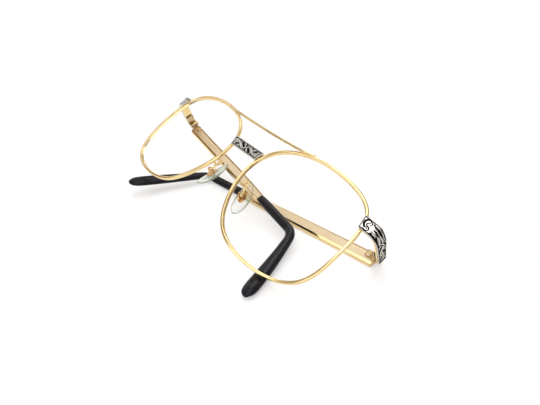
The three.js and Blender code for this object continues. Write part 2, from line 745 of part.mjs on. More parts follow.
// Pads and temples sit in groups of their own, whose origins and axes are those of their joints.
const sides = [
  { side: 'left', sign: 1, bend: left },
  { side: 'right', sign: -1, bend: right },
];

sides.forEach(({ side, sign, bend }) => {
  const ofSide = (geometry) => (sign > 0 ? geometry : mirrored(geometry));

  const pad = padFrame();
  pad.position.x *= sign;
  pad.rotation.y *= sign;
  pad.rotation.z *= sign;
  pad.name = `${side}_pad_frame`;
  pad.add(piece(`${side}_nose_pad`, ofSide(padGeometry()), clearSilicone));
  pad.add(piece(`${side}_pad_insert`, ofSide(insertGeometry()), gold));
  pad.add(piece(`${side}_pad_pin`, ofSide(padPinGeometry()), steel));
  glasses.add(pad);

  const hinge = new THREE.Group();
  hinge.position.set(sign * hingeOrigin.x, hingeOrigin.y, hingeOrigin.z);
  hinge.rotation.x = -radians(pantoscopicAngle);
  hinge.name = `${side}_hinge_frame`;
  hinge.add(piece(`${side}_front_hinge`, ofSide(frontHingeGeometry()), gold));
  hinge.add(piece(`${side}_hinge_screw`, ofSide(hingeScrewGeometry()), steel));
  glasses.add(hinge);

  const temple = new THREE.Group();
  temple.rotation.y = sign * radians(bend.fold);
  temple.add(piece(`${side}_temple_hinge`, ofSide(templeHingeGeometry()), gold));
  temple.add(piece(`${side}_temple`, ofSide(templeBarGeometry()), satinGold));
  temple.add(piece(`${side}_temple_tip`, ofSide(templeTipGeometry(bend)), blackAcetate));
  hinge.add(temple);
});

// Lay the glasses down on the left temple's lower edge, the left tip's bend and the right tip's end.
function corners(mesh) {
  mesh.updateWorldMatrix(true, false);
  const p = mesh.geometry.attributes.position;
  return Array.from({ length: p.count }, (_, i) => (
    vec(p.getX(i), p.getY(i), p.getZ(i)).applyMatrix4(mesh.matrixWorld)));
}

const lowest = (points, up) => points.reduce((best, p) => (p.dot(up) < best.dot(up) ? p : best));

function tableNormal() {
  const butt = corners(glasses.getObjectByName('left_temple'));
  const leftTip = corners(glasses.getObjectByName('left_temple_tip'));
  const rightTip = corners(glasses.getObjectByName('right_temple_tip'));
  const normal = vec(0, 0.5, 1).normalize();
  // Half a step each round, because whole steps can swing between two points of one tip.
  for (let i = 0; i < 60; i += 1) {
    const [a, b, c] = [butt, leftTip, rightTip].map((points) => lowest(points, normal).clone());
    const next = b.sub(a).cross(c.sub(a)).normalize();
    if (next.z < 0) next.negate();
    normal.add(next).normalize();
  }
  return normal;
}

const up = tableNormal();
const wide = vec(1, 0, 0).addScaledVector(up, -up.x).normalize();
const deep = up.clone().cross(wide);
const stance = new THREE.Matrix4().makeBasis(wide, deep, up).transpose();
glasses.quaternion.setFromRotationMatrix(stance);
glasses.updateMatrixWorld(true);
const box = new THREE.Box3().setFromObject(glasses, true);
const middle = box.getCenter(new THREE.Vector3());
glasses.position.set(-middle.x, -middle.y, -box.min.z);

const eyeglasses = new THREE.Group();
eyeglasses.add(glasses);
eyeglasses.updateMatrixWorld(true);

export default eyeglasses;
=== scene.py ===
"""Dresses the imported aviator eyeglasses: finishes, chased plaques, screws, moulded pads and a white table."""

import json
import math

import bmesh
import bpy
import numpy as np
from bpy.props import FloatProperty, FloatVectorProperty, IntProperty, PointerProperty
from mathutils import Euler, Matrix, Vector


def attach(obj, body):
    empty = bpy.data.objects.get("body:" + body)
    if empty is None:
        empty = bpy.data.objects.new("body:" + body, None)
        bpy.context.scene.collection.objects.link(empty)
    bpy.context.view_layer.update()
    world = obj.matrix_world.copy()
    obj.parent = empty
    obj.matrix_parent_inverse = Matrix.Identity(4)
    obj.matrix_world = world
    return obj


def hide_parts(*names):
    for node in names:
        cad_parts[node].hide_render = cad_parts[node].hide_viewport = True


bl_info = {
    "name": "Aviator Eyeglasses Dresser",
    "version": (1, 0, 0),
    "blender": (4, 5, 0),
    "location": "View3D > Sidebar > Eyewear",
    "description": "Finishes, chased plaques, screws, nose pads and a white table for folded eyeglasses",
    "category": "Object",
}

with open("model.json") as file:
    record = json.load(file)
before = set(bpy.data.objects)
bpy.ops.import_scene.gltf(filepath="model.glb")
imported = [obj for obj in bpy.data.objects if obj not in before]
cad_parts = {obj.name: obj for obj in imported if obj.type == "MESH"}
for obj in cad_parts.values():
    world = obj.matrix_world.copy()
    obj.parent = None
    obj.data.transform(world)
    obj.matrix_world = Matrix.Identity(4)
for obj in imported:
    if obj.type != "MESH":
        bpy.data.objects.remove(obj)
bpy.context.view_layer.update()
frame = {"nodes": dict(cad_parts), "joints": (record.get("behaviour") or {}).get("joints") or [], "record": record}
NODES = frame["nodes"]
JOINTS = {joint["name"]: joint for joint in frame["joints"]}
MOUNTS = {mount["name"]: mount for mount in frame["record"]["mounts"]}
BODY_OF = {
    node: body
    for body, members in frame["record"]["behaviour"]["bodies"].items()
    for node in members
}
MM = 0.001
SIDES = ("left", "right")

# Points closer than these become one: in a CAD node as it is shown, and in a mesh that is made here.
WELD_GAP = 0.002 * MM
MERGE_GAP = 0.001 * MM

# Heights and radii of a turned profile that differ by less than this are the same.
PROFILE_GAP = 0.01 * MM

# Edges sharper than these are broken: on CAD nodes, and on pieces that were cut here.
NODE_EDGE_ANGLE = math.radians(32)
CUT_EDGE_ANGLE = math.radians(40)

# Broken edges of the smaller or rounder pieces, as shares of the usual one.
RIM_EDGE, BLOCK_EDGE, HINGE_EDGE, PIN_EDGE, INSERT_EDGE = 2.2, 0.7, 0.3, 0.5, 0.8
SCREW_EDGE = 0.04 * MM

# Chasing: width of the slopes inside and outside the dark line, and the gain that flattens the tops.
FIELD_SLOPE = 0.12 * MM
BORDER_SLOPE = 0.1 * MM
FLAT_TOP = 1.5

# Rounding of a screw head: share of its height below the top, and share of its radius there.
HEAD_ROUND = ((0.45, 1.0), (0.15, 0.9), (0.0, 0.68))

OVAL_STEPS = 48
OVAL_REACH = 0.505
LIP_SECTORS = 72

# Faces of a temple that look inward at least this squarely are satin.
SATIN_FACING = 0.98

# Softboxes round and over the table: name, place and side in metres, power in watts.
LAMPS = (
    ("Overhead softbox", (0.0, 0.0, 0.8), 0.5, 1.3),
    ("Back softbox", (-0.655, 0.023, 0.459), 0.45, 0.55),
    ("Right softbox", (-0.283, 0.404, 0.63), 0.45, 1.6),
    ("Left softbox", (-0.202, -0.623, 0.459), 0.45, 1.2),
    ("Front softbox", (0.499, -0.449, 0.436), 0.45, 1.4),
    ("Upper front softbox", (0.376, -0.137, 0.693), 0.45, 1.0),
)
SENSOR_WIDTH_MM = 36
NEAR_CLIP, FAR_CLIP = 0.01, 50
TOWARDS_LIT_WALL = (-0.72, 0.69, 0.0)
WHITE = (1.0, 1.0, 1.0, 1.0)


def linear(hex_colour):
    """An sRGB hex colour as the linear red, green and blue that shaders take."""
    parts = [int(hex_colour[i:i + 2], 16) / 255 for i in (1, 3, 5)]
    return tuple(c / 12.92 if c <= 0.04045 else ((c + 0.055) / 1.055) ** 2.4 for c in parts)


def colour(name, description, hex_colour):
    return FloatVectorProperty(
        name=name, description=description, default=linear(hex_colour), subtype="COLOR", min=0, max=1
    )


def length(name, description, millimetres):
    return FloatProperty(
        name=name, description=description, default=millimetres * MM, unit="LENGTH", min=0, precision=5
    )


class EyewearFinishes(bpy.types.PropertyGroup):
    """Colours of the materials."""

    gold: colour("Gold", "Polished gold plate on the wires and edges", "#EDD8A8")
    gold_deep: colour("Gold, deep", "Redder patches in the plate", "#E1C185")
    # Painted shade: dark brown patches that darken the hinges.
    gold_hinge_shade: colour("Gold, worn", "Brown painted in random patches on the hinges as shade", "#7A5228")
    satin: colour("Satin gold", "Blasted inner faces of the temples", "#E4D4B6")
    satin_deep: colour("Satin gold, deep", "Handled patches on the satin faces", "#DBC4A0")
    silver: colour("Silver", "Burnished tops of the chasing", "#CFCBC3")
    oxide: colour("Oxide", "Blackened ground of the chasing", "#121217")
    acetate: colour("Acetate", "Black temple tips", "#1E1D23")
    acetate_deep: colour("Acetate, deep", "Darker cloud in the acetate", "#17161B")
    silicone: colour("Silicone", "Clear nose pads", "#DDE6D8")
    silicone_lip_refraction: colour("Silicone, edge", "Green of the silicone, darkened along the lip as painted refraction", "#7D8762")
    copper: colour("Copper", "Stamped inserts in the nose pads", "#DDBB8C")
    copper_deep: colour("Copper, deep", "Darker patches on the inserts", "#AF8750")
    lens: colour("Lens", "Clear demonstration lens", "#FAFCFB")
    lens_coat: colour("Lens coating", "Tint of the coating where it is thicker", "#EFF7F1")
    paper: colour("Paper", "White table", "#F4F4F5")


class EyewearSizes(bpy.types.PropertyGroup):
    """Sizes of the details that are added to the solids."""

    edge_round: length("Edge round", "Broken edge on the metal pieces", 0.1)
    plaque_thickness: length("Plaque thickness", "Of the silver plaques", 0.7)
    relief_depth: length("Relief depth", "Ground of the chasing below its tops", 0.26)
    relief_step: length("Relief step", "Spacing of the points that carry the chasing", 0.06)
    border: length("Border", "Plain silver edge round each plaque", 0.42)
    end_border: length("End border", "Plain border round the scrollwork of the end pieces", 0.22)
    border_line: length("Border line", "Dark line inside that edge", 0.2)
    screw_slot: length("Screw slot", "Width of the slot in the screw heads", 0.28)
    pad_lip: length("Pad lip", "Width of the coloured lip round a nose pad", 0.8)
    screw_sides: IntProperty(name="Screw sides", description="Facets round a screw", default=28, min=8)


class EyewearStage(bpy.types.PropertyGroup):
    """Camera, lamps and table."""

    camera_place: FloatVectorProperty(
        name="Camera place", description="Where the photograph was taken from",
        default=(0.171578, -0.094796, 0.119181), unit="LENGTH",
    )
    camera_turn: FloatVectorProperty(
        name="Camera turn", description="Direction of the photograph",
        default=tuple(math.radians(a) for a in (59.921745, 3.565969, 53.563316)), subtype="EULER",
    )
    focal_length: FloatProperty(
        name="Focal length", description="On a 36 mm wide sensor, mm", default=33.3333
    )
    table_size: FloatProperty(
        name="Table size", description="Side of the white table", default=8.0, unit="LENGTH"
    )
    sky: FloatProperty(name="Ceiling", description="Strength of the white ceiling as light", default=0.5)
    wall: colour("Walls", "Walls in shade, which the metal mirrors", "#5E4319")
    wall_lit: colour("Lit walls", "Walls at the far left of the table", "#9A7C4E")


def add_node(tree, kind, links=None, **values):
    """Adds a node. links gives its inputs as numbers, colours or the sockets that feed them."""
    node = tree.nodes.new(kind)
    for name, value in values.items():
        setattr(node, name, value)
    for key, value in (links or {}).items():
        if isinstance(value, bpy.types.NodeSocket):
            tree.links.new(value, node.inputs[key])
        else:
            node.inputs[key].default_value = value
    return node


def opaque(rgb):
    return (*rgb, 1.0)


def new_material(name):
    material = bpy.data.materials.new(name)
    material.use_nodes = True
    tree = material.node_tree
    tree.nodes.clear()
    return material, tree


def close_material(tree, shader):
    add_node(tree, "ShaderNodeOutputMaterial", {"Surface": shader.outputs[0]})


def per_metre(millimetres):
    """A texture scale that repeats about once in this many millimetres."""
    return 1 / (millimetres * MM)


def seen_rays(tree, path):
    """One for the rays by which the eye, metal or glass sees a surface, and nothing for the others."""
    eye_or_metal = add_node(
        tree, "ShaderNodeMath", {0: path["Is Camera Ray"], 1: path["Is Glossy Ray"]}, operation="MAXIMUM"
    )
    seen = add_node(
        tree, "ShaderNodeMath",
        {0: eye_or_metal.outputs[0], 1: path["Is Transmission Ray"]}, operation="MAXIMUM",
    )
    return seen.outputs[0]


def gold_material(name, bright, deep, rough, grain_mm, grain_bump, patch_mm=7.0):
    """Gold plate on nickel silver, or stamped copper alloy: a mirror where buffed, a sheen where blasted."""
    material, tree = new_material(name)
    place = add_node(tree, "ShaderNodeTexCoord").outputs["Object"]
    # Plating and handling leave broad patches a few millimetres across, a little redder and darker. On the hinges
    # the darker colour is painted shade instead, in smaller patches.
    patch = add_node(
        tree, "ShaderNodeTexNoise", {"Vector": place, "Scale": per_metre(patch_mm), "Detail": 3.0}
    )
    tint = add_node(
        tree, "ShaderNodeMix", {"Factor": patch.outputs["Fac"], 6: opaque(bright), 7: opaque(deep)},
        data_type="RGBA",
    )
    # The wheel and the blast leave marks too fine to show, so they are drawn about half a millimetre apart.
    grain = add_node(
        tree, "ShaderNodeTexNoise", {"Vector": place, "Scale": per_metre(grain_mm), "Detail": 2.0}
    )
    dull = add_node(
        tree, "ShaderNodeMapRange",
        {
            "Value": grain.outputs["Fac"], "From Min": 0.3, "From Max": 0.7,
            "To Min": rough[0], "To Max": rough[1],
        },
    )
    bump = add_node(
        tree, "ShaderNodeBump",
        {"Height": grain.outputs["Fac"], "Strength": grain_bump, "Distance": 0.02 * MM},
    )
    shader = add_node(
        tree, "ShaderNodeBsdfPrincipled",
        {
            "Base Color": tint.outputs[2], "Metallic": 1.0, "Roughness": dull.outputs[0],
            "Normal": bump.outputs[0],
        },
    )
    close_material(tree, shader)
    return material


def chased_silver_material(finishes):
    """Silver, chased with punches and blackened with sulphide, then rubbed bright on its tops."""
    material, tree = new_material("Silver, chased and oxidised")
    place = add_node(tree, "ShaderNodeTexCoord").outputs["Object"]
    height = add_node(tree, "ShaderNodeAttribute", attribute_name="relief").outputs["Fac"]
    # The rubbing cloth leaves ragged edges: black stays in the ground and creeps up the flanks.
    rag = add_node(tree, "ShaderNodeTexNoise", {"Vector": place, "Scale": per_metre(0.35), "Detail": 3.0})
    ragged = add_node(
        tree, "ShaderNodeMath", {0: rag.outputs["Fac"], 1: 0.35, 2: height}, operation="MULTIPLY_ADD"
    )
    bright = add_node(
        tree, "ShaderNodeMapRange",
        {"Value": ragged.outputs[0], "From Min": 0.72, "From Max": 1.0, "To Min": 0.0, "To Max": 1.0},
    )
    tint = add_node(
        tree, "ShaderNodeMix",
        {"Factor": bright.outputs[0], 6: opaque(finishes.oxide), 7: opaque(finishes.silver)},
        data_type="RGBA",
    )
    rough = add_node(
        tree, "ShaderNodeMapRange",
        {"Value": bright.outputs[0], "From Min": 0.0, "From Max": 1.0, "To Min": 0.6, "To Max": 0.2},
    )
    # A matting punch leaves dots about 0.2 mm apart in the ground.
    punch = add_node(tree, "ShaderNodeTexVoronoi", {"Vector": place, "Scale": per_metre(0.2)})
    bump = add_node(
        tree, "ShaderNodeBump", {"Height": punch.outputs["Distance"], "Strength": 0.25, "Distance": 0.03 * MM}
    )
    shader = add_node(
        tree, "ShaderNodeBsdfPrincipled",
        {
            "Base Color": tint.outputs[2], "Metallic": 1.0, "Roughness": rough.outputs[0],
            "Normal": bump.outputs[0],
        },
    )
    close_material(tree, shader)
    return material


def acetate_material(finishes):
    """Cellulose acetate, tumbled and polished: a deep black with a soft gloss and a faint cloud."""
    material, tree = new_material("Cellulose acetate, tumble polished")
    place = add_node(tree, "ShaderNodeTexCoord").outputs["Object"]
    cloud = add_node(tree, "ShaderNodeTexNoise", {"Vector": place, "Scale": per_metre(9), "Detail": 3.0})
    tint = add_node(
        tree, "ShaderNodeMix",
        {"Factor": cloud.outputs["Fac"], 6: opaque(finishes.acetate), 7: opaque(finishes.acetate_deep)},
        data_type="RGBA",
    )
    # Rubbing marks about half a millimetre apart soften the gloss in places.
    rubbing = add_node(tree, "ShaderNodeTexNoise", {"Vector": place, "Scale": per_metre(0.5), "Detail": 4.0})
    rough = add_node(
        tree, "ShaderNodeMapRange",
        {"Value": rubbing.outputs["Fac"], "From Min": 0.3, "From Max": 0.7, "To Min": 0.13, "To Max": 0.2},
    )
    shader = add_node(
        tree, "ShaderNodeBsdfPrincipled",
        {
            "Base Color": tint.outputs[2], "Roughness": rough.outputs[0], "IOR": 1.48,
            "Specular IOR Level": 0.14,
        },
    )
    close_material(tree, shader)
    return material


def silicone_material(finishes):
    """Clear moulded silicone: see-through, with a soft skin, a green cast at a slant, and a dark olive along its
    lip that is painted refraction.
    """
    material, tree = new_material("Silicone, clear moulded")
    place = add_node(tree, "ShaderNodeTexCoord").outputs["Object"]
    # Moulding leaves a skin with a waviness of about a millimetre.
    skin = add_node(tree, "ShaderNodeTexNoise", {"Vector": place, "Scale": per_metre(1.1), "Detail": 2.0})
    bump = add_node(
        tree, "ShaderNodeBump", {"Height": skin.outputs["Fac"], "Strength": 0.15, "Distance": 0.05 * MM}
    )
    # Face on, nothing but the gloss shows; at a slant the clear body gathers colour. Along its lip a dark olive is
    # painted, standing in for the dark that the clear edge refracts.
    facing = add_node(tree, "ShaderNodeLayerWeight", {"Blend": 0.35}).outputs["Facing"]
    lip = add_node(tree, "ShaderNodeAttribute", attribute_name="lip").outputs["Fac"]
    slant = add_node(
        tree, "ShaderNodeMapRange",
        {"Value": facing, "From Min": 0.15, "From Max": 0.45, "To Min": 0.06, "To Max": 0.9},
    )
    edge = add_node(tree, "ShaderNodeMath", {0: lip, 1: 0.9}, operation="MULTIPLY")
    body = add_node(tree, "ShaderNodeMath", {0: slant.outputs[0], 1: edge.outputs[0]}, operation="MAXIMUM")
    # Painted refraction: the lip turns dark olive, as a clear edge looks when it bends in the dark round it.
    tint = add_node(
        tree, "ShaderNodeMix",
        {"Factor": lip, 6: opaque(finishes.silicone), 7: opaque(finishes.silicone_lip_refraction)}, data_type="RGBA",
    )
    shader = add_node(
        tree, "ShaderNodeBsdfPrincipled",
        {
            "Base Color": tint.outputs[2], "Roughness": 0.12, "IOR": 1.41, "Transmission Weight": 0.3,
            "Normal": bump.outputs[0], "Alpha": body.outputs[0],
        },
    )
    close_material(tree, shader)
    return material


def lens_material(finishes):
    """Demonstration lens of clear cast resin with a coating that stops reflections, so it hardly shows."""
    material, tree = new_material("Cast resin lens, coated")
    place = add_node(tree, "ShaderNodeTexCoord").outputs["Object"]
    # The coating's thickness drifts over a centimetre or two, and its tint with it.
    drift = add_node(tree, "ShaderNodeTexNoise", {"Vector": place, "Scale": per_metre(14), "Detail": 1.0})
    tint = add_node(
        tree, "ShaderNodeMix",
        {"Factor": drift.outputs["Fac"], 6: opaque(finishes.lens), 7: opaque(finishes.lens_coat)},
        data_type="RGBA",
    )
    # Face on, the coating lets nearly all light by; only a slanting view shows the surface.
    facing = add_node(tree, "ShaderNodeLayerWeight", {"Blend": 0.3}).outputs["Facing"]
    seen = add_node(
        tree, "ShaderNodeMapRange",
        {"Value": facing, "From Min": 0.4, "From Max": 1.0, "To Min": 0.004, "To Max": 0.2},
    )
    shader = add_node(
        tree, "ShaderNodeBsdfPrincipled",
        {
            "Base Color": tint.outputs[2], "Roughness": 0.0, "IOR": 1.5, "Transmission Weight": 1.0,
            "Alpha": seen.outputs[0],
        },
    )
    close_material(tree, shader)
    return material


def paper_material(finishes):
    """Seamless white paper. It takes the shadows, and a little glow keeps it white, seen or mirrored."""
    material, tree = new_material("Paper, white seamless")
    path = add_node(tree, "ShaderNodeLightPath").outputs
    seen = seen_rays(tree, path)
    # The lamps reach about half a metre; past that the glow takes over, so the sweep stays white.
    place = add_node(tree, "ShaderNodeTexCoord").outputs["Object"]
    away = add_node(tree, "ShaderNodeVectorMath", {0: place}, operation="LENGTH")
    fill = add_node(
        tree, "ShaderNodeMapRange",
        {"Value": away.outputs["Value"], "From Min": 0.2, "From Max": 1.0, "To Min": 0.12, "To Max": 0.6},
        interpolation_type="SMOOTHSTEP",
    )
    glow = add_node(tree, "ShaderNodeMath", {0: seen, 1: fill.outputs[0]}, operation="MULTIPLY")
    # Opened temples swing below the table. The eye sees them through the sheet, best away from the shadows.
    thin = add_node(
        tree, "ShaderNodeMapRange",
        {"Value": away.outputs["Value"], "From Min": 0.06, "From Max": 0.12, "To Min": 0.35, "To Max": 0.92},
        interpolation_type="SMOOTHSTEP",
    )
    clear = add_node(
        tree, "ShaderNodeMath", {0: path["Is Camera Ray"], 1: thin.outputs[0]}, operation="MULTIPLY"
    )
    solid = add_node(tree, "ShaderNodeMath", {0: 1.0, 1: clear.outputs[0]}, operation="SUBTRACT")
    shader = add_node(
        tree, "ShaderNodeBsdfPrincipled",
        {
            "Base Color": opaque(finishes.paper), "Roughness": 0.9, "Specular IOR Level": 0.0,
            "Emission Color": WHITE, "Emission Strength": glow.outputs[0],
            "Alpha": solid.outputs[0],
        },
    )
    close_material(tree, shader)
    return material


MADE = {}


def finish(name):
    """The material of that finish, made once."""
    finishes = bpy.context.scene.eyewear_finishes
    makers = {
        "polished": lambda: gold_material(
            "Gold plate, buffed", finishes.gold, finishes.gold_deep,
            rough=(0.08, 0.15), grain_mm=0.4, grain_bump=0.05,
        ),
        "satin": lambda: gold_material(
            "Gold plate, satin blasted", finishes.satin, finishes.satin_deep,
            rough=(0.38, 0.46), grain_mm=0.5, grain_bump=0.08,
        ),
        # Painted shade on the hinges: dark brown in random patches about 1.4 mm across.
        "shade_painted": lambda: gold_material(
            "Gold plate, worn at the hinge", finishes.gold, finishes.gold_hinge_shade,
            rough=(0.07, 0.2), grain_mm=0.4, grain_bump=0.08, patch_mm=1.4,
        ),
        "copper": lambda: gold_material(
            "Copper alloy, stamped", finishes.copper, finishes.copper_deep,
            rough=(0.1, 0.22), grain_mm=0.5, grain_bump=0.08,
        ),
        "silver": lambda: chased_silver_material(finishes),
        "acetate": lambda: acetate_material(finishes),
        "silicone": lambda: silicone_material(finishes),
        "lens": lambda: lens_material(finishes),
        "paper": lambda: paper_material(finishes),
    }
    if name not in MADE:
        MADE[name] = makers[name]()
    return MADE[name]


def break_edges(piece, width, angle, hard=False):
    """Bevels a piece's edges that are sharper than an angle; hard keeps its broad faces flat to the eye."""
    bevel = piece.modifiers.new("Broken edges", "BEVEL")
    bevel.width = width
    bevel.segments = 2
    bevel.limit_method = "ANGLE"
    bevel.angle_limit = angle
    bevel.harden_normals = hard
    bevel.use_clamp_overlap = True


def round_off(piece, name):
    """Rounds a coarse mesh off, as a mould or tumbling does."""
    smooth = piece.modifiers.new(name, "SUBSURF")
    smooth.levels = 2
    smooth.render_levels = 2


def dress(node, finish_name, edge_round=0.0, hard=True):
    """Gives a CAD node its finish, with its facets welded and shaded round and its edges broken."""
    part = NODES[node]
    part.data.materials.clear()
    part.data.materials.append(finish(finish_name))
    if "custom_normal" in part.data.attributes:
        part.data.attributes.remove(part.data.attributes["custom_normal"])
    part.data.polygons.foreach_set("use_smooth", [True] * len(part.data.polygons))
    part.data.edges.foreach_set("use_edge_sharp", [False] * len(part.data.edges))
    weld = part.modifiers.new("Weld", "WELD")
    weld.merge_threshold = WELD_GAP
    if edge_round:
        break_edges(part, edge_round, NODE_EDGE_ANGLE, hard)
    return part


def add_piece(name, points, faces, finish_name, body, slot):
    """A new mesh piece in the row frame, on its body."""
    mesh = bpy.data.meshes.new(name)
    mesh.from_pydata([tuple(p) for p in points], [], faces)
    mesh.polygons.foreach_set("use_smooth", [True] * len(mesh.polygons))
    mesh.materials.append(finish(finish_name))
    mesh.update()
    piece = bpy.data.objects.new(name, mesh)
    bpy.context.scene.collection.objects.link(piece)
    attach(piece, body)
    return piece


def welded(node):
    """Points and faces of a CAD node's mesh, with its loose facets joined."""
    work = bmesh.new()
    work.from_mesh(NODES[node].data)
    bmesh.ops.remove_doubles(work, verts=work.verts, dist=MERGE_GAP)
    work.verts.ensure_lookup_table()
    points = [v.co.copy() for v in work.verts]
    faces = [[v.index for v in f.verts] for f in work.faces]
    work.free()
    return points, faces


def apply_modifiers(piece):
    """Turns a piece's modifiers into mesh."""
    bpy.context.view_layer.update()
    mesh = bpy.data.meshes.new_from_object(piece.evaluated_get(bpy.context.evaluated_depsgraph_get()))
    piece.modifiers.clear()
    piece.data = mesh


def carve(piece, work, operation):
    """Cuts a piece with the form in a bmesh, or keeps only what lies inside it."""
    mesh = bpy.data.meshes.new(piece.name + "_cutter")
    work.to_mesh(mesh)
    work.free()
    cutter = bpy.data.objects.new(mesh.name, mesh)
    bpy.context.scene.collection.objects.link(cutter)
    cut = piece.modifiers.new("Cut", "BOOLEAN")
    cut.operation = operation
    cut.object = cutter
    cut.solver = "EXACT"
    apply_modifiers(piece)
    bpy.data.objects.remove(cutter)


def mark_lip(piece, wide):
    """Stores for the material how near each point of a flat piece lies to its outline, one at the outline."""
    points = np.array([tuple(v.co) for v in piece.data.vertices])
    points -= points.mean(axis=0)
    flat = points @ np.linalg.svd(points, full_matrices=False)[2][:2].T
    angle, reach = np.arctan2(flat[:, 1], flat[:, 0]), np.hypot(flat[:, 0], flat[:, 1])
    turn = (angle + np.pi) / (2 * np.pi) * LIP_SECTORS
    sector = turn.astype(int) % LIP_SECTORS
    outline = np.array([reach[sector == k].max(initial=0.0) for k in range(LIP_SECTORS)])
    around = np.concatenate([outline[-1:], outline, outline[:1]])
    here = np.interp(turn - 0.5, np.arange(-1, LIP_SECTORS + 1), around)
    inside = np.clip((here - reach) / wide, 0, 1)
    lip = piece.data.attributes.new("lip", "FLOAT", "POINT")
    lip.data.foreach_set("value", 1 - inside * inside * (3 - 2 * inside))


def front_axes():
    """The front's own axes in the row frame: to the wearer's left, to the brow, forward."""
    left, right = (Vector(JOINTS[f"{side}_temple_hinge_turn"]["pos_m"]) for side in SIDES)
    across = (left - right).normalized()
    forward = Vector(MOUNTS["bridge_plaque_face"]["axis"]).normalized()
    forward = (forward - across * forward.dot(across)).normalized()
    return across, forward.cross(across), forward


def unique_corners(node, wanted):
    """The distinct corners of the faces of a node whose normal is wanted."""
    found = {}
    mesh = NODES[node].data
    for face in mesh.polygons:
        if wanted(face.normal):
            for i in face.vertices:
                co = mesh.vertices[i].co
                found[tuple(round(c, 6) for c in co)] = co.copy()
    return list(found.values())


def plaque_edges(node, sign):
    """Lower and upper edge of a plaque's outer face, from its front end to its rear end."""
    across, up, forward = front_axes()

    def outside(normal):
        return normal.dot(across) * sign + normal.dot(forward) > 0.5 and abs(normal.dot(up)) < 0.5

    corners = unique_corners(node, outside)
    corners.sort(key=lambda p: p.dot(across) * sign - p.dot(forward))
    pairs = [sorted(corners[i:i + 2], key=lambda p: p.dot(up)) for i in range(0, len(corners), 2)]
    return [p[0] for p in pairs], [p[1] for p in pairs]


def bridge_edges():
    """Lower and upper edge of the bridge plaque's front face, from the wearer's right to left."""
    across, up, forward = front_axes()
    corners = unique_corners("bridge_plaque", lambda n: n.dot(forward) > 0.9)
    corners.sort(key=lambda p: p.dot(up))
    return [sorted(row, key=lambda p: p.dot(across)) for row in (corners[:2], corners[2:])]


def smooth_run(points, along, wanted):
    """Points on a smooth line through others, at wanted distances."""
    points = np.array([tuple(p) for p in points])
    slopes = np.gradient(points, along, axis=0)
    cell = np.clip(np.searchsorted(along, wanted, side="right") - 1, 0, len(along) - 2)
    step = (along[cell + 1] - along[cell])[:, None]
    t = ((wanted - along[cell])[:, None]) / step
    return (
        (1 + 2 * t) * (1 - t) ** 2 * points[cell] + t * (1 - t) ** 2 * step * slopes[cell]
        + t * t * (3 - 2 * t) * points[cell + 1] - t * t * (1 - t) * step * slopes[cell + 1]
    )


def line_through(points, count=90):
    """A smooth line through a few points."""
    points = np.array(points, float)
    points = np.concatenate([2 * points[:1] - points[1:2], points, 2 * points[-1:] - points[-2:-1]])
    spans = len(points) - 3
    pieces = []
    for i in range(spans):
        t = np.linspace(0, 1, max(4, count // spans), endpoint=i == spans - 1)[:, None]
        a, b, c, d = points[i:i + 4]
        bow, twist = 2 * a - 5 * b + 4 * c - d, 3 * b - a - 3 * c + d
        pieces.append(0.5 * (2 * b + (c - a) * t + bow * t ** 2 + twist * t ** 3))
    return np.concatenate(pieces)


def stroke(points, wide, ends=0.3):
    """A run through a few points, widest at its middle, with its ends a share of that width."""
    line = line_through(points)
    t = np.linspace(0, 1, len(line))
    return np.column_stack([line, wide * (ends + (1 - ends) * np.sin(np.pi * t) ** 0.7)])


def leaf(start, end, bend, wide):
    """A pointed leaf from start to end, bowed to one side by bend."""
    start, end = np.array(start, float), np.array(end, float)
    side = np.array([start[1] - end[1], end[0] - start[0]])
    t = np.linspace(0, 1, 60)[:, None]
    line = start + (end - start) * t + side * bend * 4 * t * (1 - t)
    half = wide * np.sin(np.pi * np.clip(t * 0.96 + 0.02, 0, 1)) ** 0.8
    return np.concatenate([line, np.maximum(half, 0.03)], 1)


def mix(start, end, share):
    return tuple(a + (b - a) * share for a, b in zip(start, end))


def dot(x, y, radius):
    return np.array([[x, y, radius]])


def turned(runs):
    """The same runs, half a turn round the middle of the plaque."""
    return [run * np.array([-1.0, -1.0, 1.0]) for run in runs]


